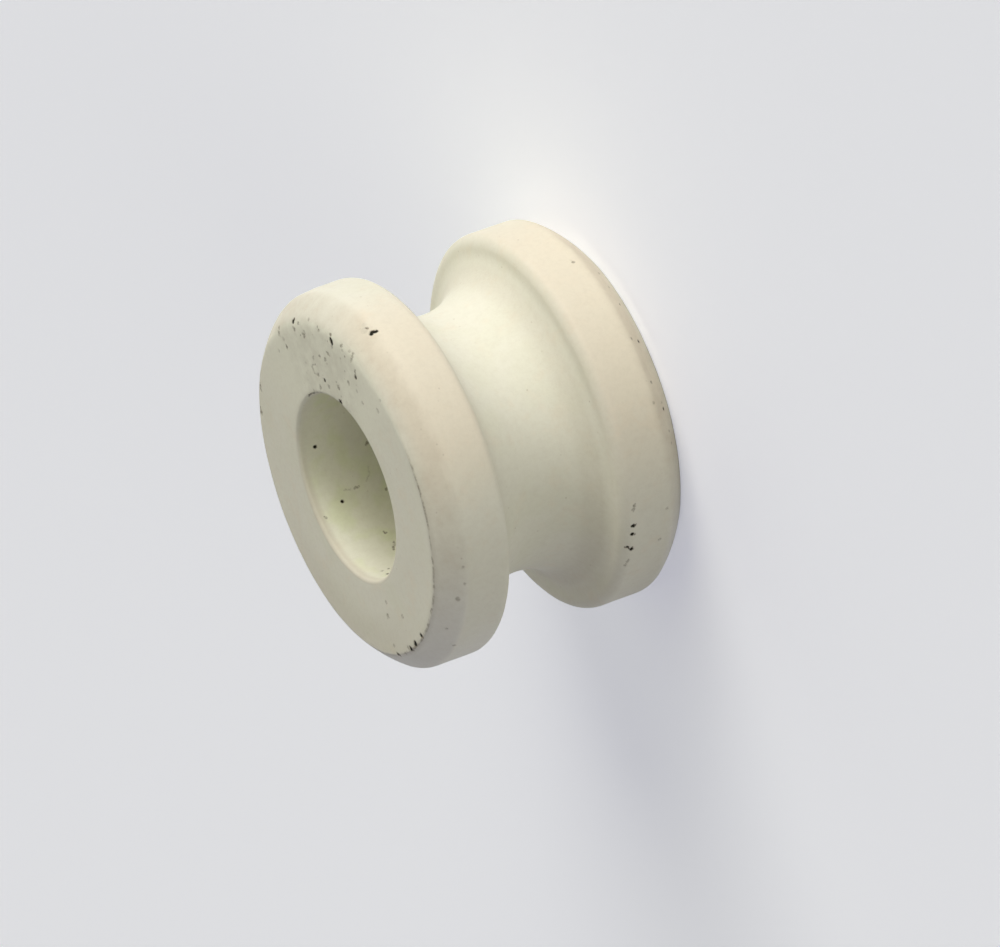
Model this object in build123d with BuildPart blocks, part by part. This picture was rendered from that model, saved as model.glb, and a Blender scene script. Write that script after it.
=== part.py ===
from build123d import *
import math
import os

# Grooved spool insulator: one turned and fired ceramic piece, standing on one end face.
# Millimetres. Origin at the middle of the lower end face, +Z along the through bore.

# Driving dimensions
flange_d = 16.0             # over either rim
bore_d = 7.9                # plain through bore
throat_d = 11.05            # bottom of the groove
length = 11.5               # end face to end face
flange_width = 3.2          # end face to the wall of the groove

band_axial = 0.95           # height of the sloping band between end face and rim
band_radial = 0.9           # how far that band comes in from the rim
band_crown = 0.05           # how far the band bulges from straight
ridge_r = 0.4               # softened corner between sloping band and rim
shoulder_r = 0.6            # first half of the rolled lip, off the wall of the groove
lip_r = 0.45                # second half of the rolled lip, on to the rim
bore_break = 0.15           # broken corner at each mouth of the bore

# Derived sizes. The section is drawn about the middle of the spool's length.
rim_r = flange_d / 2
bore_r = bore_d / 2
throat_r = throat_d / 2
half_length = length / 2
groove_half = half_length - flange_width        # from mid-length to the wall of the groove
face_r = rim_r - band_radial                    # outer radius of the end face
band_foot = half_length - band_axial            # where the sloping band meets the rim

# Each half of the lip turns 45 degrees, and together they reach from the wall's top to the rim.
lip_turn = 45
lip_share = math.sin(math.radians(lip_turn))
wall_top_r = rim_r - shoulder_r * lip_share - lip_r * (1 - lip_share)
bowl_depth = wall_top_r - throat_r              # radial depth of the elliptical bowl

section_plane = Plane(origin=(0, 0, half_length), x_dir=(1, 0, 0), z_dir=(0, -1, 0))


def corners_at(corners, x, y):
    """The corners of the section at (x, y) and at its mirror image (x, -y)."""
    at_radius = corners.filter_by_position(Axis.X, x - 0.01, x + 0.01)
    return at_radius.filter_by(lambda corner: abs(abs(corner.Y) - y) < 0.01)


with BuildPart() as insulator:
    with BuildSketch(section_plane) as section:
        with BuildLine():
            # Groove: a quarter ellipse from the throat to the wall's top, then the rolled lip.
            bowl = EllipticalCenterArc((wall_top_r, 0), bowl_depth, groove_half, 180, arc_size=-90)
            shoulder = JernArc(bowl @ 1, (1, 0), shoulder_r, lip_turn)
            lip = JernArc(shoulder @ 1, shoulder % 1, lip_r, lip_turn)
            # Rim, crowned sloping band, end face and bore wall.
            Line(lip @ 1, (rim_r, band_foot))
            SagittaArc((rim_r, band_foot), (face_r, half_length), -band_crown)
            Line((face_r, half_length), (bore_r, half_length))
            Line((bore_r, half_length), (bore_r, 0))
            mirror(about=Plane.XZ)
        make_face()
        fillet(corners_at(section.vertices(), rim_r, band_foot), ridge_r)
        chamfer(corners_at(section.vertices(), bore_r, half_length), bore_break)
    revolve(axis=Axis.Z)

insulator.part.label = "insulator"

os.makedirs("parts", exist_ok=True)
export_step(insulator.part, "parts/insulator.step")
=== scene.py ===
"""Grooved spool insulator: a small turned and fired ceramic piece, standing on one end.

Run as a script in Blender 4.5. Lengths are in metres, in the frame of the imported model, except
where a comment says millimetres. Angles are in degrees and turn from +X towards -Y.
"""

import math
import random

import bpy
from bpy.props import (
    FloatProperty,
    FloatVectorProperty,
    IntProperty,
    PointerProperty,
)
from bpy.types import NodeSocket
from mathutils import Matrix, Vector
from mathutils.kdtree import KDTree


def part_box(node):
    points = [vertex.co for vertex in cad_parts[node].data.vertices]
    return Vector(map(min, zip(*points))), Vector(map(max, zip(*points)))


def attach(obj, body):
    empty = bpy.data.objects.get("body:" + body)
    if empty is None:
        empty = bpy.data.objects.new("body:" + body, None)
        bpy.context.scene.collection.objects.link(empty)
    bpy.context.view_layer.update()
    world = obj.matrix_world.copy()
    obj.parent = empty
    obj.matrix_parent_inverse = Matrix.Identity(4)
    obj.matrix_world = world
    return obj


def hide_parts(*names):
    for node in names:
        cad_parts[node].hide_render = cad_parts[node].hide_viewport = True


bl_info = {
    "name": "Grooved spool insulator",
    "version": (1, 0, 0),
    "blender": (4, 5, 0),
    "location": "View3D > Sidebar > Spool",
    "description": "Turns, wears and soils a ceramic spool insulator and sets its stage",
    "category": "Add Mesh",
}

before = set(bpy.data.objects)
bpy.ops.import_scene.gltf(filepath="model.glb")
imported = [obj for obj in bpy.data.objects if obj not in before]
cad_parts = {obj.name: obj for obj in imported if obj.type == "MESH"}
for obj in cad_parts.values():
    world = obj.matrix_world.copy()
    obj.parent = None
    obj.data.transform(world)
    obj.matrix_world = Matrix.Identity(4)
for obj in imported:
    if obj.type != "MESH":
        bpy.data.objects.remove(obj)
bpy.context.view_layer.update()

NODE = "insulator"
BODY = "root"
MM = 0.001

LOWEST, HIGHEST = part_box(NODE)
LENGTH = HIGHEST.z - LOWEST.z
RIM_RADIUS = round(HIGHEST.x - LOWEST.x, 5) / 2
MIDDLE = (HIGHEST.z + LOWEST.z) / 2
TOP = LENGTH / MM  # height of the upper face, in millimetres


# Sizes and colours that a user would change


def size(name, description, default, **limits):
    """A length in metres."""
    return FloatProperty(
        name=name,
        description=description,
        default=default,
        subtype="DISTANCE",
        unit="LENGTH",
        precision=5,
        min=0.0,
        **limits,
    )


def colour(name, description, default):
    """A linear colour."""
    return FloatVectorProperty(
        name=name,
        description=description,
        default=default,
        subtype="COLOR",
        size=3,
        min=0.0,
        max=1.0,
    )


def light(name, description, default):
    """The strength of a light."""
    return FloatProperty(name=name, description=description, default=default, min=0.0)


class SpoolSizes(bpy.types.PropertyGroup):
    """Section of the spool. Both ends are alike."""

    bore_radius: size("Bore radius", "Radius of the through bore", 3.95 * MM)
    throat_radius: size("Throat radius", "Radius at the bottom of the groove", 5.525 * MM)
    groove_half: size("Half groove", "Mid-length to the wall of the groove", 2.55 * MM)
    mouth_round: size("Bore mouth", "Rounding at each mouth of the bore", 0.17 * MM)
    face_round: size("Face edge", "Rounding between end face and sloping band", 0.09 * MM)
    band_rise: size("Band height", "Axial height of the sloping band", 0.95 * MM)
    band_run: size("Band width", "Radial width of the sloping band", 0.9 * MM)
    band_crown: size("Band crown", "How far the sloping band bulges", 0.05 * MM)
    ridge_round: size("Ridge", "Rounding between sloping band and rim", 0.4 * MM)
    lip_round: size("Lip", "Rounding where the rim turns into the lip", 0.45 * MM)
    shoulder_round: size("Shoulder", "Rounding where the lip turns into the wall", 0.6 * MM)
    spacing: size("Spacing", "Length of one step along the section", 0.16 * MM)
    turns: IntProperty(
        name="Steps round",
        description="Steps round the axis",
        default=240,
        min=64,
        max=512,
    )


class SpoolFinish(bpy.types.PropertyGroup):
    """Colours of the fired ceramic, of what has settled on it, and of painted light and shade."""

    cream: colour("Ceramic", "Colour of the clean ceramic", (0.87, 0.85, 0.76))
    rose: colour("Rose soil", "Colour that handling leaves on the rims", (0.87, 0.79, 0.67))
    cast: colour("Green cast", "Cooler patches in the ceramic", (0.85, 0.835, 0.725))
    # Painted reflected light: a lighter, cooler tone on the side of band and rim away from the
    # lamps.
    painted_reflection: colour("Chalk", "Colour of the washed side of band and rim", (0.94, 0.92, 0.89))
    moss: colour("Stain in the bore", "Faint stain on the wall of the bore", (0.87, 0.90, 0.66))
    # Painted light: lighter and greener in the bore, where light comes through its thin wall, and
    # on the side of the end face towards the lamps.
    clean: colour("Clean ceramic", "Colour where little has settled", (0.94, 0.93, 0.81))
    # Dust, and also painted shade on the outer face, in the bore and at its mouth away from the
    # lamps, and on the wall of the groove.
    dust_and_shade: colour("Dust", "Colour of the fine dirt worn into the surface", (0.52, 0.45, 0.36))
    stain: colour("Stain", "Colour of the fainter specks and edge lines", (0.17, 0.125, 0.08))
    grime: colour("Grime", "Colour of the black specks", (0.014, 0.012, 0.008))
    roughness: FloatProperty(
        name="Roughness",
        description="Roughness of the unglazed surface",
        default=0.62,
        min=0.0,
        max=1.0,
        subtype="FACTOR",
    )


class SpoolStage(bpy.types.PropertyGroup):
    """Floor, light and camera."""

    floor: colour("Floor", "Colour of the pale floor", (0.86, 0.87, 0.90))
    backdrop: colour("Backdrop", "Colour behind and under everything", (0.70, 0.715, 0.84))
    floor_glow: light("Floor glow", "How much of the backdrop the floor shows", 0.42)
    low_key_strength: light("Low key", "Strength of the main light, near the floor", 2.36)
    high_key_strength: light("High key", "Strength of the softer light over it", 1.14)
    side_strength: light("Side", "Strength of the weak light beside the camera", 0.63)
    fill_strength: light("Fill", "Strength of the weak light behind", 0.56)
    under_strength: light("Under", "Strength of the weak light on the darkest side", 0.16)
    sky_strength: light("Ambient", "Strength of the even light all round", 0.1)
    lens: FloatProperty(
        name="Lens",
        description="Focal length of the camera",
        default=535.8,
        min=50.0,
        max=2000.0,
        subtype="DISTANCE_CAMERA",
        unit="CAMERA",
    )


# Drawing the section and modelling

MERGE = 0.005 * MM  # vertices nearer than this are one


def deselect():
    """Leaves nothing selected, in object mode."""
    if bpy.context.object and bpy.context.object.mode != "OBJECT":
        bpy.ops.object.mode_set(mode="OBJECT")
    bpy.ops.object.select_all(action="DESELECT")


class Section:
    """Draws a section in the XZ plane, run by run, from one vertex of the open mesh."""

    def __init__(self, x, z, heading, spacing):
        self.x, self.z = x, z
        self.heading = math.radians(heading)
        self.spacing = spacing

    def steps(self, length, least=1):
        """How many steps of about the spacing make up the length."""
        return max(least, round(length / self.spacing))

    def run(self, length):
        """A straight run along the heading."""
        count = self.steps(length)
        step = Vector((math.cos(self.heading), 0, math.sin(self.heading))) * (length / count)
        for _ in range(count):
            bpy.ops.mesh.extrude_vertices_move(TRANSFORM_OT_translate={"value": step})
        self.x += step.x * count
        self.z += step.z * count

    def turn(self, radius, degrees, least=3):
        """An arc that turns right, or left where degrees is negative."""
        side = math.copysign(1, degrees)
        angle = math.radians(abs(degrees))
        centre = Vector(
            (
                self.x + side * radius * math.sin(self.heading),
                0,
                self.z - side * radius * math.cos(self.heading),
            )
        )
        bpy.ops.mesh.spin(
            steps=self.steps(radius * angle, least),
            angle=-side * angle,
            center=centre,
            axis=(0, 1, 0),
        )
        self.heading -= side * angle
        self.x = centre.x - side * radius * math.sin(self.heading)
        self.z = centre.z + side * radius * math.cos(self.heading)


def edit_mesh():
    """The mesh of the active object, with edit mode's changes written to it."""
    bpy.context.object.update_from_editmode()
    return bpy.context.object.data


def face_radius(s):
    """Radius of the flat end face, before its edge is rounded."""
    return RIM_RADIUS - s.band_run


def draw_half_section(s):
    """Half of the section, from the middle of the bore round to the bottom of the groove."""
    slope = math.degrees(math.atan2(s.band_rise, s.band_run))
    chord = math.hypot(s.band_rise, s.band_run)
    crown_radius = chord**2 / (8 * s.band_crown) + s.band_crown / 2
    crown_turn = 2 * math.degrees(math.asin(chord / 2 / crown_radius))
    face_turn = slope - crown_turn / 2
    ridge_turn = 90 - slope - crown_turn / 2
    face_cut = s.face_round * math.tan(math.radians(face_turn / 2))
    ridge_cut = s.ridge_round * math.tan(math.radians(ridge_turn / 2))
    half_turn = math.sin(math.radians(45))  # lip and shoulder turn 45 degrees each
    lip_height = s.lip_round * half_turn + s.shoulder_round * (1 - half_turn)
    lip_depth = s.lip_round * (1 - half_turn) + s.shoulder_round * half_turn
    wall_top = RIM_RADIUS - lip_depth
    bowl_depth = wall_top - s.throat_radius

    pen = Section(s.bore_radius, MIDDLE, 90, s.spacing)
    pen.run(LENGTH / 2 - s.mouth_round)
    pen.turn(s.mouth_round, 90, least=5)
    pen.run(face_radius(s) - s.bore_radius - s.mouth_round - face_cut)
    pen.turn(s.face_round, face_turn)
    crown_share = 1 - 2 * math.degrees((face_cut + ridge_cut) / 2 / crown_radius) / crown_turn
    pen.turn(crown_radius, crown_turn * crown_share)
    pen.heading = -math.radians(90 - ridge_turn)
    pen.turn(s.ridge_round, ridge_turn, least=4)
    pen.run(pen.z - (MIDDLE + s.groove_half + lip_height))
    pen.turn(s.lip_round, 45, least=4)
    pen.turn(s.shoulder_round, 45, least=4)
    # The bowl is drawn as a quarter circle and then stretched to the depth of the groove.
    outline = len(edit_mesh().vertices)
    pen.turn(s.groove_half, -90)
    bowl = edit_mesh()
    bpy.ops.object.mode_set(mode="OBJECT")
    for vertex in bowl.vertices:
        vertex.select = vertex.index >= outline
    bpy.ops.object.mode_set(mode="EDIT")
    bpy.ops.transform.resize(
        value=(bowl_depth / s.groove_half, 1, 1), center_override=(wall_top, 0, MIDDLE)
    )


def turn_body(s):
    """The whole body: the half section mirrored about mid-length and spun round the axis."""
    deselect()
    bpy.ops.mesh.primitive_plane_add(size=MM, location=(s.bore_radius, 0, MIDDLE))
    body = bpy.context.object
    body.name = body.data.name = "insulator_body"
    bpy.ops.object.transform_apply(location=True, rotation=True, scale=True)
    bpy.ops.object.mode_set(mode="EDIT")
    bpy.ops.mesh.select_mode(type="VERT")
    bpy.ops.mesh.select_all(action="SELECT")
    bpy.ops.mesh.merge(type="CENTER")
    draw_half_section(s)
    bpy.ops.mesh.select_all(action="SELECT")
    bpy.ops.mesh.duplicate()
    bpy.ops.transform.resize(value=(1, 1, -1), center_override=(0, 0, MIDDLE))
    bpy.ops.mesh.select_all(action="SELECT")
    bpy.ops.mesh.remove_doubles(threshold=MERGE)
    bpy.ops.mesh.spin(steps=s.turns, angle=2 * math.pi, center=(0, 0, 0), axis=(0, 0, 1))
    bpy.ops.mesh.select_all(action="SELECT")
    bpy.ops.mesh.remove_doubles(threshold=MERGE)
    bpy.ops.mesh.normals_make_consistent(inside=False)
    bpy.ops.object.mode_set(mode="OBJECT")
    return body


# Wear and dirt. Radii, heights, widths and depths are in millimetres.

FACE_SPECKS = (  # radius, angle, width, strength
    (7.05, 4, 0.18, 0.95),
    (6.95, 8, 0.13, 0.60),
    (6.70, 4, 0.16, 0.50),
    (7.10, -9, 0.16, 0.50),
    (6.90, -10, 0.17, 0.45),
    (6.55, -8, 0.17, 0.25),
    (6.20, -8, 0.16, 0.60),
    (6.35, -16, 0.13, 0.25),
    (6.45, 11, 0.18, 0.60),
    (6.60, 12, 0.13, 0.30),
    (7.20, 16, 0.14, 0.30),
    (7.05, 32, 0.13, 0.60),
    (6.55, 33, 0.13, 0.40),
    (6.95, 39, 0.14, 0.55),
    (6.80, 40, 0.12, 0.35),
    (5.70, 21, 0.13, 0.55),
    (6.05, 29, 0.16, 0.55),
    (5.70, 26, 0.16, 0.40),
    (5.50, 14, 0.16, 0.30),
    (4.80, 15, 0.16, 0.45),
    (4.65, 21, 0.17, 0.85),
    (4.25, 14, 0.17, 0.50),
    (4.45, 25, 0.16, 0.40),
    (4.75, 36, 0.17, 0.55),
    (5.55, 45, 0.17, 0.45),
    (7.10, 44, 0.13, 0.30),
    (6.25, 50, 0.18, 0.80),
    (4.10, 37, 0.22, 1.00),
    (4.10, 4, 0.13, 0.30),
    (5.65, 52, 0.14, 0.25),
    (5.45, 57, 0.14, 0.28),
    (6.28, 67, 0.16, 0.28),
    (6.90, 66, 0.13, 0.25),
    (5.45, -176, 0.17, 0.50),
    (4.90, -179, 0.16, 0.35),
    (5.75, 170, 0.16, 0.35),
    (6.96, 162, 0.19, 1.00),
    (6.98, 169, 0.24, 1.00),
    (7.06, 174, 0.21, 0.90),
    (6.95, 176, 0.13, 0.50),
    (7.12, -174, 0.17, 0.80),
    (6.72, -173, 0.14, 0.40),
    (7.12, -180, 0.13, 0.40),
)
FACE_STROKES = (  # radius and angle at one end, then at the other, width, strength
    (6.98, 23, 6.85, 24, 0.11, 0.60),
    (6.85, 32, 6.70, 33, 0.16, 1.00),
    (5.26, 15, 5.14, 10, 0.07, 0.45),
    (5.14, 10, 4.85, 11, 0.07, 0.45),
    (4.85, 11, 4.75, 15, 0.08, 0.45),
    (7.20, 46, 6.75, 46, 0.09, 0.50),
    (6.60, 49, 6.30, 50, 0.11, 0.60),
    (4.00, -8, 3.99, 2, 0.07, 0.75),
    (3.99, 2, 4.00, 14, 0.06, 0.45),
    (7.06, -43, 6.95, -45, 0.10, 0.55),
    (7.00, -53, 6.94, -55, 0.12, 0.60),
)
BORE_SPECKS = (  # depth below the upper face, angle, width, strength
    (0.75, -60, 0.13, 1.00),
    (1.30, -97, 0.14, 1.00),
    (0.36, -103, 0.10, 0.60),
    (2.33, -125, 0.11, 0.60),
    (3.10, -69, 0.14, 0.50),
    (3.30, -99, 0.12, 0.50),
    (0.85, -166, 0.13, 0.90),
    (1.20, -158, 0.10, 0.60),
    (0.90, -158, 0.10, 0.50),
)
BORE_STROKES = (  # depth and angle at one end, then at the other, width, strength
    (1.51, -91, 1.87, -92, 0.06, 0.25),
    (2.00, -92, 2.26, -92, 0.08, 0.40),
    (2.63, -90, 2.84, -87, 0.06, 0.20),
    (2.84, -87, 2.89, -82, 0.05, 0.15),
    (2.39, -134, 2.14, -140, 0.08, 0.55),
)
RIM_SPECKS = (  # height above the floor, angle, width, strength
    (10.62, 43.5, 0.11, 0.65),
    (10.80, 43.5, 0.30, 0.12),
    (10.95, 137, 0.20, 0.35),
    (10.60, 159, 0.12, 0.30),
    (10.58, 131, 0.11, 0.28),
    (10.62, 125, 0.11, 0.25),
    (11.30, 151, 0.11, 0.30),
    (2.70, 125, 0.10, 0.50),
    (2.80, 132, 0.14, 0.95),
    (2.68, 132, 0.10, 0.80),
    (2.80, 135, 0.16, 1.00),
    (2.98, 140, 0.13, 1.00),
    (2.78, 141, 0.16, 1.00),
    (1.30, 47, 0.12, 0.60),
    (0.97, 97, 0.11, 0.30),
    (0.60, 91, 0.12, 0.50),
    (0.80, 77, 0.11, 0.40),
    (1.20, 130, 0.11, 0.28),
    (1.45, 141, 0.13, 0.35),
    (0.06, 52, 0.10, 0.50),
    (0.06, 58, 0.08, 0.45),
    (0.08, 78, 0.12, 0.90),
    (0.05, 65, 0.10, 0.60),
    (0.08, 100, 0.12, 0.80),
    (0.08, 98, 0.08, 0.45),
    (0.06, 107, 0.09, 0.40),
    (0.10, 111, 0.08, 0.35),
)
RIM_STROKES = (  # height and angle at one end, then at the other, width, strength
    (10.65, 46.2, 10.56, 45.7, 0.17, 1.00),
    (10.56, 45.7, 10.40, 46.3, 0.19, 1.00),
    (2.65, 125, 2.78, 127, 0.08, 0.45),
    (2.86, 145, 2.92, 148, 0.10, 0.40),
    (1.60, 173, 1.40, 174, 0.08, 0.25),
)
DENTS = (  # radius, height, angle, width, depth
    (7.65, 0.55, 87, 1.1, 0.07),
    (7.95, 10.45, 45, 0.30, 0.04),
    (7.1, 11.45, 170, 0.35, 0.03),
    (6.8, 11.5, 33, 0.25, 0.03),
    (7.9, 2.2, 305, 0.8, 0.04),
    (7.4, 11.2, 250, 0.7, 0.05),
    (7.6, 0.8, 200, 0.8, 0.05),
)
WEAR = (  # first angle, last angle, rounds of smoothing along the upper edge
    (-38, 100, 4),
    (-30, 90, 6),
    (-22, 80, 8),
    (-16, 70, 8),
    (-4, 60, 8),
)
WORN_HEIGHT = 1.7  # how far down from the upper face the wear reaches
WORN_RADIUS = 6.6  # how near to the axis it reaches
UNEVENNESS = (("firing", 3.2, 0.03), ("pressing", 0.7, 0.008))  # cause, scale, depth

SEED = 5
EXTRA_DROPS = 3  # smaller, fainter drops that break the outline of each speck
EXTRA_SHIFT = 0.65  # how far they stray from its middle, in its widths
EXTRA_WIDTH, EXTRA_STRENGTH = (0.3, 0.75), (0.5, 1.0)  # least and most, as shares of the speck's
STROKE_STEP = 0.35  # spacing of the drops of a stroke, in its widths
FULL_WIDTH = (0.85, 1.15)  # least and most, as shares of a full stroke's own
WEAK_SHIFT = 0.5  # how far the drops of a weaker stroke stray, in its widths
WEAK_WIDTH, WEAK_STRENGTH = (0.35, 1.25), (0.4, 1.1)
MARGIN = 0.13  # how far past a drop the faces are made finer
CUTS = 5  # cuts across each of those faces
SPREAD = 1.5  # a drop's dirt fades out at this many half widths
CORE = 2.5  # how soon it is full, from there towards the middle
STRENGTHEN = 1.2  # how much stronger than listed it is laid
SUNK = 0.02  # how deep the strongest dirt sinks


def place(radius, height, angle):
    """A point of the spool, in metres, from millimetres and degrees."""
    turn = math.radians(angle)
    return Vector((radius * math.cos(turn), -radius * math.sin(turn), height)) * MM


def surface_place(sizes, kind, along, angle):
    """A point near the upper face, the bore or the outside of the rims."""
    if kind == "face":
        return place(along, TOP, angle)
    if kind == "bore":
        return place(sizes.bore_radius / MM, TOP - along, angle)
    return place(RIM_RADIUS / MM, along, angle)


def list_drops(body, sizes):
    """Centre, half width and strength of each drop of dirt, set on the surface."""
    draw = random.Random(SEED)
    drops = []

    def drop(point, width, strength):
        found, spot, _, _ = body.closest_point_on_mesh(point)
        if not found:
            raise RuntimeError("a speck of dirt lies off the body")
        drops.append((spot, width * MM / 2, strength))

    def stray(width, share):
        return Vector([draw.uniform(-share, share) for _ in range(3)]) * width * MM

    for kind, specks in (("face", FACE_SPECKS), ("bore", BORE_SPECKS), ("rim", RIM_SPECKS)):
        for along, angle, width, strength in specks:
            centre = surface_place(sizes, kind, along, angle)
            drop(centre, width, strength)
            for _ in range(EXTRA_DROPS):
                point = centre + stray(width, EXTRA_SHIFT)
                smaller = width * draw.uniform(*EXTRA_WIDTH)
                drop(point, smaller, strength * draw.uniform(*EXTRA_STRENGTH))
    for kind, strokes in (("face", FACE_STROKES), ("bore", BORE_STROKES), ("rim", RIM_STROKES)):
        for first, first_angle, last, last_angle, width, strength in strokes:
            start = surface_place(sizes, kind, first, first_angle)
            end = surface_place(sizes, kind, last, last_angle)
            count = max(2, round((end - start).length / (width * MM * STROKE_STEP)))
            for step in range(count + 1):
                share = step / count
                angle = first_angle + (last_angle - first_angle) * share
                point = surface_place(sizes, kind, first + (last - first) * share, angle)
                if strength < 1.0:
                    point = point + stray(width, WEAK_SHIFT)
                    uneven = width * draw.uniform(*WEAK_WIDTH)
                    drop(point, uneven, strength * draw.uniform(*WEAK_STRENGTH))
                else:
                    drop(point, width * draw.uniform(*FULL_WIDTH), strength)
    return drops


def select_elements(mesh, vertices=None, faces=None):
    """Selects vertices or faces by a list of yes or no for each, and nothing else."""
    for elements, chosen in (
        (mesh.vertices, vertices),
        (mesh.edges, None),
        (mesh.polygons, faces),
    ):
        elements.foreach_set("select", chosen or [False] * len(elements))


def wear_edge(body):
    """Rubs down the upper edge where it has been handled most."""
    low = HIGHEST.z - WORN_HEIGHT * MM
    for first, last, rounds in WEAR:

        def worn(co):
            angle = math.degrees(math.atan2(-co.y, co.x))
            outside = math.hypot(co.x, co.y) > WORN_RADIUS * MM
            return co.z > low and outside and first < angle < last

        select_elements(body.data, vertices=[worn(v.co) for v in body.data.vertices])
        bpy.ops.object.mode_set(mode="EDIT")
        bpy.ops.mesh.vertices_smooth(factor=0.5, repeat=rounds)
        bpy.ops.object.mode_set(mode="OBJECT")


def roughen(body):
    """Slight unevenness, mostly inwards."""
    for name, scale, depth in UNEVENNESS:
        clouds = bpy.data.textures.new(name, "CLOUDS")
        clouds.noise_scale = scale * MM
        clouds.noise_depth = 1
        bpy.ops.object.modifier_add(type="DISPLACE")
        displace = body.modifiers[-1]
        displace.texture = clouds
        displace.texture_coords = "LOCAL"
        displace.strength = depth * MM
        displace.mid_level = 0.6
        bpy.ops.object.modifier_apply(modifier=displace.name)


def fade(distance, reach):
    """1 at the middle, smoothly down to 0 at reach."""
    share = max(0.0, 1.0 - distance / reach)
    return share * share * (3 - 2 * share)


def press_dents(body):
    """Presses the few shallow dents and chips."""
    for radius, height, angle, width, depth in DENTS:
        centre = place(radius, height, angle)
        reach = width * MM / 2
        for vertex in body.data.vertices:
            distance = (vertex.co - centre).length
            if distance < reach:
                vertex.co -= vertex.normal * (depth * MM) * fade(distance, reach)


def refine_under(body, drops, tree):
    """Gives the mesh finer faces under each drop of dirt."""

    def under(centre):
        _, index, distance = tree.find(centre)
        return distance < drops[index][1] + MARGIN * MM

    mesh = body.data
    select_elements(mesh, faces=[under(face.center) for face in mesh.polygons])
    bpy.ops.object.mode_set(mode="EDIT")
    bpy.ops.mesh.select_mode(type="FACE")
    bpy.ops.mesh.subdivide(number_cuts=CUTS, smoothness=0)
    bpy.ops.mesh.select_mode(type="VERT")
    bpy.ops.object.mode_set(mode="OBJECT")


def soil(body, sizes):
    """Sinks each drop of dirt a little and stores how strong the dirt is."""
    drops = list_drops(body, sizes)
    tree = KDTree(len(drops))
    for index, (spot, _, _) in enumerate(drops):
        tree.insert(spot, index)
    tree.balance()
    refine_under(body, drops, tree)

    farthest = max(half for _, half, _ in drops) * SPREAD
    mesh = body.data
    strengths = []
    sunk = []
    for vertex in mesh.vertices:
        strength = 0.0
        for _, index, distance in tree.find_range(vertex.co, farthest):
            _, half, most = drops[index]
            strength = max(strength, most * min(1.0, CORE * fade(distance, half * SPREAD)))
        strength = min(1.0, strength * STRENGTHEN)
        strengths.append(strength)
        sunk.append(vertex.co - vertex.normal * strength * SUNK * MM)
    for vertex, position in zip(mesh.vertices, sunk):
        vertex.co = position
    mesh.attributes.new("dirt", "FLOAT", "POINT").data.foreach_set("value", strengths)


# Nodes


VECTOR, FLOAT = "NodeSocketVector", "NodeSocketFloat"
FLAT = (1, 1, 0)  # times a place, leaves out its height


class Nodes:
    """Adds nodes to a tree and joins them by short calls."""

    def __init__(self, tree):
        self.tree = tree

    def feed(self, socket, value):
        """Links an output to the socket, or sets the socket's own value."""
        if isinstance(value, NodeSocket):
            self.tree.links.new(value, socket)
        elif socket.type == "RGBA":
            socket.default_value = (*value, 1)
        else:
            socket.default_value = value

    def add(self, kind, inputs=None, **settings):
        """A new node with its settings, and its inputs fed by name or by number."""
        node = self.tree.nodes.new(kind)
        for name, value in settings.items():
            setattr(node, name, value)
        for name, value in (inputs or {}).items():
            self.feed(node.inputs[name], value)
        return node

    def group(self, tree, inputs):
        """The outputs of one use of a node group."""
        return self.add("ShaderNodeGroup", inputs, node_tree=tree).outputs

    def math(self, operation, *values, clamp=False):
        """Maths on numbers."""
        inputs = dict(enumerate(values))
        return self.add("ShaderNodeMath", inputs, operation=operation, use_clamp=clamp).outputs[0]

    def chain(self, operation, values):
        """One operation over all the values, from the first to the last."""
        result, *others = values
        for value in others:
            result = self.math(operation, result, value)
        return result

    def product(self, *values):
        """All the values multiplied."""
        return self.chain("MULTIPLY", values)

    def total(self, *values):
        """All the values added."""
        return self.chain("ADD", values)

    def highest(self, *values):
        """The greatest of the values."""
        return self.chain("MAXIMUM", values)

    def vector(self, operation, output="Vector", **inputs):
        """Vector maths. The inputs are named first, second and factor."""
        sockets = {"first": 0, "second": 1, "factor": "Scale"}
        values = {sockets[name]: value for name, value in inputs.items()}
        return self.add("ShaderNodeVectorMath", values, operation=operation).outputs[output]

    def join(self, x, y):
        """A vector from two numbers, with no height."""
        return self.add("ShaderNodeCombineXYZ", {"X": x, "Y": y}).outputs["Vector"]

    def height(self, place):
        """The height of a place."""
        return self.add("ShaderNodeSeparateXYZ", {"Vector": place}).outputs["Z"]

    def ramp(self, value, low, high, least=0.0, most=1.0):
        """least below low, most above high, smooth between them. High may be under low."""
        inputs = {
            "Value": value,
            "From Min": low,
            "From Max": high,
            "To Min": least,
            "To Max": most,
        }
        node = self.add("ShaderNodeMapRange", inputs, interpolation_type="SMOOTHSTEP")
        return node.outputs["Result"]

    def noise(self, place, scale, detail, roughness=0.5):
        """Clouds between 0 and 1."""
        inputs = {"Vector": place, "Scale": scale, "Detail": detail, "Roughness": roughness}
        return self.add("ShaderNodeTexNoise", inputs).outputs["Fac"]

    def mix(self, mask, under, over):
        """One colour laid over another through a mask."""
        node = self.add("ShaderNodeMix", data_type="RGBA")
        sockets = {socket.identifier: socket for socket in node.inputs}
        self.feed(sockets["Factor_Float"], mask)
        self.feed(sockets["A_Color"], under)
        self.feed(sockets["B_Color"], over)
        return next(o for o in node.outputs if o.identifier == "Result_Color")


def new_material(name):
    """An empty material, its nodes and the inputs of its Principled BSDF."""
    material = bpy.data.materials.new(name)
    material.use_nodes = True
    material.node_tree.nodes.clear()
    n = Nodes(material.node_tree)
    shader = n.add("ShaderNodeBsdfPrincipled")
    n.add("ShaderNodeOutputMaterial", {"Surface": shader.outputs["BSDF"]})
    return material, n, shader.inputs


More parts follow.
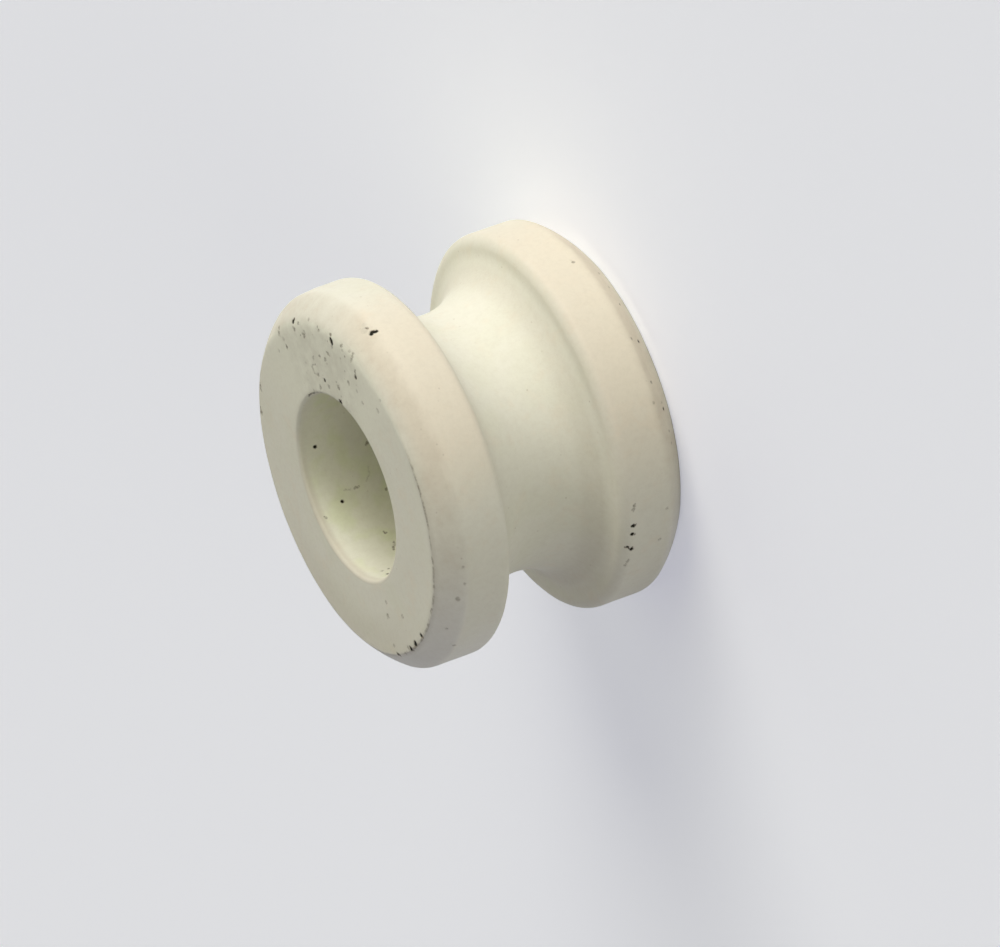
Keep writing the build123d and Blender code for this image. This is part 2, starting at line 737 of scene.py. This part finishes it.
def new_group(name, inputs, outputs):
    """An empty shader node group with named sockets, and its input and output nodes."""
    tree = bpy.data.node_groups.new(name, "ShaderNodeTree")
    for socket, (kind, default) in inputs.items():
        item = tree.interface.new_socket(socket, in_out="INPUT", socket_type=kind)
        if default is not None:
            item.default_value = default
    for socket, kind in outputs.items():
        tree.interface.new_socket(socket, in_out="OUTPUT", socket_type=kind)
    n = Nodes(tree)
    return n, n.add("NodeGroupInput").outputs, n.add("NodeGroupOutput").inputs


def group_round_the_axis():
    """Where a point lies on the spool, in millimetres."""
    n, given, out = new_group(
        "Round the axis",
        {"Object": (VECTOR, None)},
        {"Place": VECTOR, "Radius": FLOAT, "Height": FLOAT, "From middle": FLOAT},
    )
    place = n.vector("SCALE", first=given["Object"], factor=1 / MM)
    height = n.height(place)
    flat = n.vector("MULTIPLY", first=place, second=FLAT)
    n.feed(out["Place"], place)
    n.feed(out["Radius"], n.vector("LENGTH", output="Value", first=flat))
    n.feed(out["Height"], height)
    n.feed(out["From middle"], n.math("ABSOLUTE", n.math("SUBTRACT", height, MIDDLE / MM)))
    return n.tree


def group_speckle():
    """Fine dots, gathered in patches."""
    n, given, out = new_group(
        "Speckle",
        {
            "Place": (VECTOR, None),
            "Scale": (FLOAT, 3.0),
            "Dot": (FLOAT, 0.1),
            "Patch": (FLOAT, 0.5),
        },
        {"Mask": FLOAT},
    )
    inputs = {"Vector": given["Place"], "Scale": given["Scale"]}
    cells = n.add("ShaderNodeTexVoronoi", inputs).outputs
    dot = n.math("SUBTRACT", 1.0, n.math("DIVIDE", cells["Distance"], given["Dot"]), clamp=True)
    pick = n.add("ShaderNodeSeparateColor", {"Color": cells["Color"]}).outputs
    patch = n.math("GREATER_THAN", pick["Red"], given["Patch"])
    n.feed(out["Mask"], n.product(n.ramp(dot, 0.0, 0.5), n.product(pick["Green"], patch)))
    return n.tree


def group_towards():
    """How far a point lies towards one side of the spool: 1 on that side, -1 opposite."""
    n, given, out = new_group(
        "Towards", {"Place": (VECTOR, None), "Angle": (FLOAT, 0.0)}, {"Share": FLOAT}
    )
    angle = n.math("RADIANS", given["Angle"])
    side = n.join(n.math("COSINE", angle), n.product(n.math("SINE", angle), -1.0))
    flat = n.vector("MULTIPLY", first=given["Place"], second=FLAT)
    outward = n.vector("NORMALIZE", first=flat)
    n.feed(out["Share"], n.vector("DOT_PRODUCT", output="Value", first=outward, second=side))
    return n.tree


def group_edge_line(towards):
    """A dark line along the edge of an end face, over part of the way round."""
    n, given, out = new_group(
        "Edge line",
        {
            "Place": (VECTOR, None),
            "Radius": (FLOAT, 0.0),
            "Edge radius": (FLOAT, 7.0),
            "Edge height": (FLOAT, 11.5),
            "Angle": (FLOAT, 0.0),
            "Reach": (FLOAT, 0.6),
        },
        {"Mask": FLOAT},
    )
    place = given["Place"]
    waver = n.math("MULTIPLY_ADD", n.noise(place, 1.2, 2.0), 0.12, -0.06)
    outward = n.math("SUBTRACT", given["Radius"], given["Edge radius"])
    above = n.math("SUBTRACT", n.height(place), given["Edge height"])
    far = n.vector("LENGTH", output="Value", first=n.join(n.total(outward, waver), above))
    side = n.group(towards, {"Place": place, "Angle": given["Angle"]})["Share"]
    around = n.ramp(n.math("SUBTRACT", side, given["Reach"]), 0.0, 0.2)
    broken = n.ramp(n.noise(place, 3.2, 4.0, 0.75), 0.42, 0.62, 0.15, 1.0)
    soft = n.ramp(far, 0.3, 0.0, 0.0, 0.22)
    line = n.math("MULTIPLY_ADD", n.ramp(far, 0.09, 0.025), broken, soft)
    n.feed(out["Mask"], n.product(line, around))
    return n.tree


# The ceramic, by the parts of its surface that differ

REGIONS = {  # what is measured, in millimetres, where the mask begins and where it is full
    "rims": (("Radius", 7.0, 7.7), ("From middle", 2.4, 3.0)),
    "band": (("From middle", 4.5, 4.9), ("Radius", 6.95, 7.15)),
    "bore": (("Radius", 4.25, 3.95), ("From middle", 5.8, 4.9)),
    "mouth": (("Radius", 4.2, 4.05), ("From middle", 5.3, 5.6)),
    "face": (("From middle", 5.6, 5.72),),
    "outer face": (("From middle", 5.6, 5.72), ("Radius", 5.0, 6.6)),
    # The groove wall is darkened as painted shade, partly dust.
    "groove wall": (("Radius", 5.8, 6.3), ("Radius", 7.0, 6.6), ("From middle", 2.9, 2.6)),
    "upper half": (("Height", 5.0, 6.5),),
}
SIDES = {  # angle of the side, how far towards it the mask begins and where it is full, -1 to 1
    "handled above": (68.0, 0.72, 0.97),
    "handled below": (60.0, 0.3, 0.95),
    # Painted light on the side of the face towards the lamps.
    "lit face side": (20.0, 0.2, 0.9),
    "peppered face": (22.0, 0.78, 0.97),
    # Painted reflected light on these sides of rim and band, away from the lamps.
    "reflection on rim": (200.0, 0.35, 0.95),
    "reflection on band": (190.0, 0.2, 0.9),
    # Painted shade, partly dust, on these sides, away from the lamps.
    "shaded face side": (215.0, 0.5, 0.95),
    "shaded bore side": (180.0, 0.4, 0.95),
    "shaded mouth side": (215.0, -0.1, 0.7),
}
CLOUDS = {  # scale, detail and roughness
    "patches": (0.42, 3.0, 0.55),
    "damp": (0.8, 2.0, 0.5),
    "blotches": (1.1, 3.0, 0.6),
    "mottle": (4.0, 5.0, 0.8),
    "grain": (9.0, 4.0, 0.65),
    "crumbs": (14.0, 3.0, 0.6),
}
SPECKLES = {  # cells to a millimetre, radius of the dot in a cell, share of cells left out
    "fine": {"Scale": 2.4, "Dot": 0.13, "Patch": 0.8},
    "pepper": {"Scale": 3.4, "Dot": 0.22, "Patch": 0.45},
}
EDGE_LINES = (  # height, angle of the middle, how far towards that side it ends, strength
    (TOP - 0.02, 133.0, 0.6, 0.55),
    (0.06, 105.0, 0.45, 0.6),
)
EDGE_INSET = 0.03  # how far inside the outline of the face the lines lie


def surface_masks(n, sizes):
    """The masks named above, each as an output socket; the edge lines are a list of them."""
    here = n.add("ShaderNodeTexCoord").outputs["Object"]
    spool = n.group(group_round_the_axis(), {"Object": here})
    place = {"Place": spool["Place"]}
    towards = group_towards()
    speckle = group_speckle()
    on = {}
    for name, ramps in REGIONS.items():
        on[name] = n.product(*(n.ramp(spool[measure], *ends) for measure, *ends in ramps))
    for name, (angle, *ends) in SIDES.items():
        on[name] = n.ramp(n.group(towards, {**place, "Angle": angle})["Share"], *ends)
    for name, cloud in CLOUDS.items():
        on[name] = n.noise(spool["Place"], *cloud)
    for name, dots in SPECKLES.items():
        on[name] = n.group(speckle, {**place, **dots})["Mask"]

    edge = {"Radius": spool["Radius"], "Edge radius": face_radius(sizes) / MM - EDGE_INSET}
    edge_line = group_edge_line(towards)
    on["edge lines"] = []
    for height, angle, reach, strength in EDGE_LINES:
        part = {"Edge height": height, "Angle": angle, "Reach": reach}
        line = n.group(edge_line, {**place, **edge, **part})["Mask"]
        on["edge lines"].append(n.product(line, strength))
    return on


def rose_soil(n, on):
    """Rose soil on the rims, most where they are handled, and faintly in blotches."""
    above = n.product(on["handled above"], on["upper half"])
    below = n.product(on["handled below"], n.math("SUBTRACT", 1.0, on["upper half"]))
    handled = n.math("MULTIPLY_ADD", n.total(above, below), 0.85, 0.1)
    blotches = n.ramp(on["blotches"], 0.5, 0.75, 0.0, 0.35)
    return n.math("MINIMUM", n.total(n.product(on["rims"], handled), blotches), 1.0)


def painted_reflection_parts(n, on):
    """Painted reflected light: a lighter, cooler tone on the side of the upper rim and of both
    bands away from the lamps.
    """
    rim = n.product(on["rims"], on["upper half"], on["reflection on rim"], 0.7)
    band = n.product(on["band"], on["reflection on band"], 0.85)
    return n.highest(rim, band)


def dust_and_painted_shade(n, on):
    """Dust in blotches on the bands and mottled all over. Darker too on the outer face, in the
    bore and at its mouth on the side away from the lamps, and on the wall of the groove: partly
    dust and partly painted shade.
    """
    away_from_reflection = n.math("SUBTRACT", 1.0, on["reflection on band"])
    dust_and_shade = n.highest(
        n.product(on["band"], n.ramp(on["blotches"], 0.2, 0.8, 0.1, 0.3), away_from_reflection),
        # Partly dust and partly painted shade: the outer face and the bore away from the lamps,
        # and the groove wall.
        n.product(on["outer face"], on["shaded face side"], 0.2),
        n.product(on["bore"], on["shaded bore side"], 0.15),
        n.product(on["groove wall"], 0.16),
    )
    mottle = n.ramp(on["mottle"], 0.35, 0.8, 0.0, 0.14)
    # Painted shade, partly dust, at the mouth of the bore away from the lamps; the mottle is
    # dust.
    return n.total(dust_and_shade, mottle, n.product(on["mouth"], on["shaded mouth side"], 0.4))


def ceramic_material(sizes, look):
    """Cream, unglazed, fired ceramic, soiled on its raised edges and specked with dirt, with
    painted light and shade in places.
    """
    material, n, shader = new_material("Cream ceramic")
    on = surface_masks(n, sizes)
    # Painted light on the side of the face towards the lamps.
    lit_face = n.product(on["face"], on["lit face side"], 0.8)
    peppered = n.product(on["face"], on["peppered face"], n.ramp(on["blotches"], 0.35, 0.6))
    dirt = n.add("ShaderNodeAttribute", attribute_name="dirt").outputs["Fac"]
    solid = n.ramp(dirt, 0.8, 1.0)
    broken = n.product(dirt, n.ramp(on["crumbs"], 0.32, 0.6, 0.4, 1.15))
    dirt = n.math("MINIMUM", n.highest(broken, solid), 1.0)

    layers = [
        (n.ramp(on["patches"], 0.42, 0.66, 0.0, 0.75), look.cast),
        (rose_soil(n, on), look.rose),
        # Painted light in the bore and on the side of the face towards the lamps.
        (n.highest(on["bore"], lit_face), look.clean),
        (n.product(on["bore"], n.ramp(on["damp"], 0.42, 0.68, 0.0, 0.7)), look.moss),
        # Painted reflected light on the side of rim and bands away from the lamps.
        (painted_reflection_parts(n, on), look.painted_reflection),
        # Dust, and painted shade away from the lamps and on the groove wall.
        (dust_and_painted_shade(n, on), look.dust_and_shade),
        *((line, look.stain) for line in on["edge lines"]),
        (n.product(on["fine"], 0.45), look.dust_and_shade),
        (n.product(peppered, 0.12), look.stain),
        (n.product(on["pepper"], peppered, 0.7), look.stain),
        (dirt, n.mix(solid, look.stain, look.grime)),
    ]
    colour = look.cream
    for mask, over in layers:
        colour = n.mix(mask, colour, over)
    n.feed(shader["Base Color"], colour)
    n.feed(shader["Specular IOR Level"], 0.3)

    rough = n.math("SUBTRACT", look.roughness, n.product(on["rims"], 0.08))
    rough = n.total(rough, n.product(on["blotches"], 0.1))
    n.feed(shader["Roughness"], n.highest(rough, dirt))

    relief = n.total(on["grain"], n.product(on["fine"], -0.8))
    bump = {"Height": relief, "Strength": 0.35, "Distance": 0.02 * MM}
    n.feed(shader["Normal"], n.add("ShaderNodeBump", bump).outputs["Normal"])
    return material


# Stage

FLOOR_SIZE = 2.0
SKY_TINT = (0.95, 0.88, 1.0)
LAMP_DISTANCE = 0.2
LAMPS = {  # angle round the spool, height and spread in degrees, tint
    "low_key": (20, 2, 44, (0.98, 0.97, 1.0)),
    "high_key": (30, 25, 50, (1.0, 0.98, 0.75)),
    "side": (110, 6, 40, (0.98, 1.0, 0.80)),
    "fill": (300, 40, 70, (0.97, 1.0, 0.75)),
    "under": (185, 40, 80, (0.97, 0.95, 1.0)),
}
CAMERA_HEIGHT = 22.751  # degrees above the upper face
CAMERA_ROLL = 19.675  # degrees, past lying on its side
CAMERA_DISTANCE = 0.6
AIM_RIGHT, AIM_UP = 6.22 * MM, 0.565 * MM  # the middle of the view, from that of the upper face


def seen_rays(n):
    """1 for rays that show the backdrop: straight to the camera, in gloss and through glass."""
    path = n.add("ShaderNodeLightPath").outputs
    gloss = n.highest(path["Is Glossy Ray"], path["Is Transmission Ray"])
    return n.highest(path["Is Camera Ray"], gloss)


def lay_floor(stage):
    """The pale floor that the spool stands on."""
    deselect()
    bpy.ops.mesh.primitive_plane_add(size=FLOOR_SIZE)
    floor = bpy.context.object
    floor.name = "floor"
    material, n, shader = new_material("Pale floor")
    n.feed(shader["Base Color"], stage.floor)
    n.feed(shader["Roughness"], 0.9)
    n.feed(shader["Specular IOR Level"], 0.1)
    n.feed(shader["Emission Color"], stage.backdrop)
    n.feed(shader["Emission Strength"], n.product(seen_rays(n), stage.floor_glow))
    floor.data.materials.append(material)


def light_world(stage):
    """Even light all round, and a pale backdrop where the camera sees past the floor."""
    world = bpy.data.worlds.new("Studio")
    bpy.context.scene.world = world
    world.use_nodes = True
    world.node_tree.nodes.clear()
    n = Nodes(world.node_tree)
    even = {"Color": SKY_TINT, "Strength": stage.sky_strength}
    light = n.add("ShaderNodeBackground", even).outputs[0]
    backdrop = n.add("ShaderNodeBackground", {"Color": stage.backdrop}).outputs[0]
    both = n.add("ShaderNodeMixShader", {0: seen_rays(n), 1: light, 2: backdrop}).outputs[0]
    n.add("ShaderNodeOutputWorld", {"Surface": both})


def add_lamp(name, angle, height, spread, tint, strength):
    """A soft, distant lamp."""
    deselect()
    angle, height = math.radians(angle), math.radians(height)
    towards = Vector((math.cos(angle), -math.sin(angle), math.tan(height)))
    bpy.ops.object.light_add(type="SUN", location=towards * LAMP_DISTANCE)
    lamp = bpy.context.object
    lamp.name = name
    lamp.rotation_euler = towards.to_track_quat("Z", "Y").to_euler()
    lamp.data.energy = strength
    lamp.data.angle = math.radians(spread)
    lamp.data.color = tint


def place_camera(stage):
    """A long lens, rolled on its side, that looks down on the upper face at a low angle."""
    height, roll = math.radians(CAMERA_HEIGHT), math.radians(CAMERA_ROLL)
    towards = Vector((0, -math.cos(height), math.sin(height)))
    across = Vector((0, math.sin(height), math.cos(height)))
    along = Vector((1, 0, 0))
    up = math.cos(roll) * along - math.sin(roll) * across
    right = -math.sin(roll) * along - math.cos(roll) * across
    face = Vector((0, 0, LENGTH))
    stand = face + towards * CAMERA_DISTANCE
    back = (stand - face - right * AIM_RIGHT - up * AIM_UP).normalized()
    right = up.cross(back).normalized()
    turn = Matrix((right, back.cross(right), back)).transposed()
    bpy.ops.object.camera_add(location=stand, rotation=turn.to_euler())
    camera = bpy.context.object
    camera.name = "camera"
    camera.data.lens = stage.lens
    camera.data.clip_start = 0.01
    camera.data.clip_end = 5
    bpy.context.scene.camera = camera
    bpy.context.scene.view_settings.view_transform = "Standard"


# Operators


class SPOOL_OT_body(bpy.types.Operator):
    """Turns the spool, wears its edges and gives it its ceramic finish"""

    bl_idname = "spool.body"
    bl_label = "Spool body"

    def execute(self, context):
        sizes = context.scene.spool_sizes
        body = turn_body(sizes)
        wear_edge(body)
        roughen(body)
        press_dents(body)
        soil(body, sizes)
        body.data.shade_smooth()
        body.data.materials.append(ceramic_material(sizes, context.scene.spool_finish))
        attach(body, BODY)
        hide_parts(NODE)
        return {"FINISHED"}


class SPOOL_OT_stage(bpy.types.Operator):
    """Lays the floor and sets the lights and the camera"""

    bl_idname = "spool.stage"
    bl_label = "Stage"

    def execute(self, context):
        stage = context.scene.spool_stage
        lay_floor(stage)
        light_world(stage)
        for name, lamp in LAMPS.items():
            add_lamp(f"{name}_light", *lamp, getattr(stage, f"{name}_strength"))
        place_camera(stage)
        return {"FINISHED"}


class SPOOL_PT_panel(bpy.types.Panel):
    """Lists the sizes, the colours and the steps"""

    bl_label = "Spool insulator"
    bl_idname = "SPOOL_PT_panel"
    bl_space_type = "VIEW_3D"
    bl_region_type = "UI"
    bl_category = "Spool"

    def draw(self, context):
        scene = context.scene
        for group in (scene.spool_sizes, scene.spool_finish, scene.spool_stage):
            box = self.layout.box()
            for name in group.__annotations__:
                box.prop(group, name)
        for operator in (SPOOL_OT_body, SPOOL_OT_stage):
            self.layout.operator(operator.bl_idname)


GROUPS = {
    "spool_sizes": SpoolSizes,
    "spool_finish": SpoolFinish,
    "spool_stage": SpoolStage,
}
CLASSES = (*GROUPS.values(), SPOOL_OT_body, SPOOL_OT_stage, SPOOL_PT_panel)


def register():
    for cls in CLASSES:
        bpy.utils.register_class(cls)
    for name, group in GROUPS.items():
        setattr(bpy.types.Scene, name, PointerProperty(type=group))


def unregister():
    for name in GROUPS:
        delattr(bpy.types.Scene, name)
    for cls in reversed(CLASSES):
        bpy.utils.unregister_class(cls)


def main():
    register()
    bpy.ops.spool.body()
    bpy.ops.spool.stage()


if __name__ == "__main__":
    main()
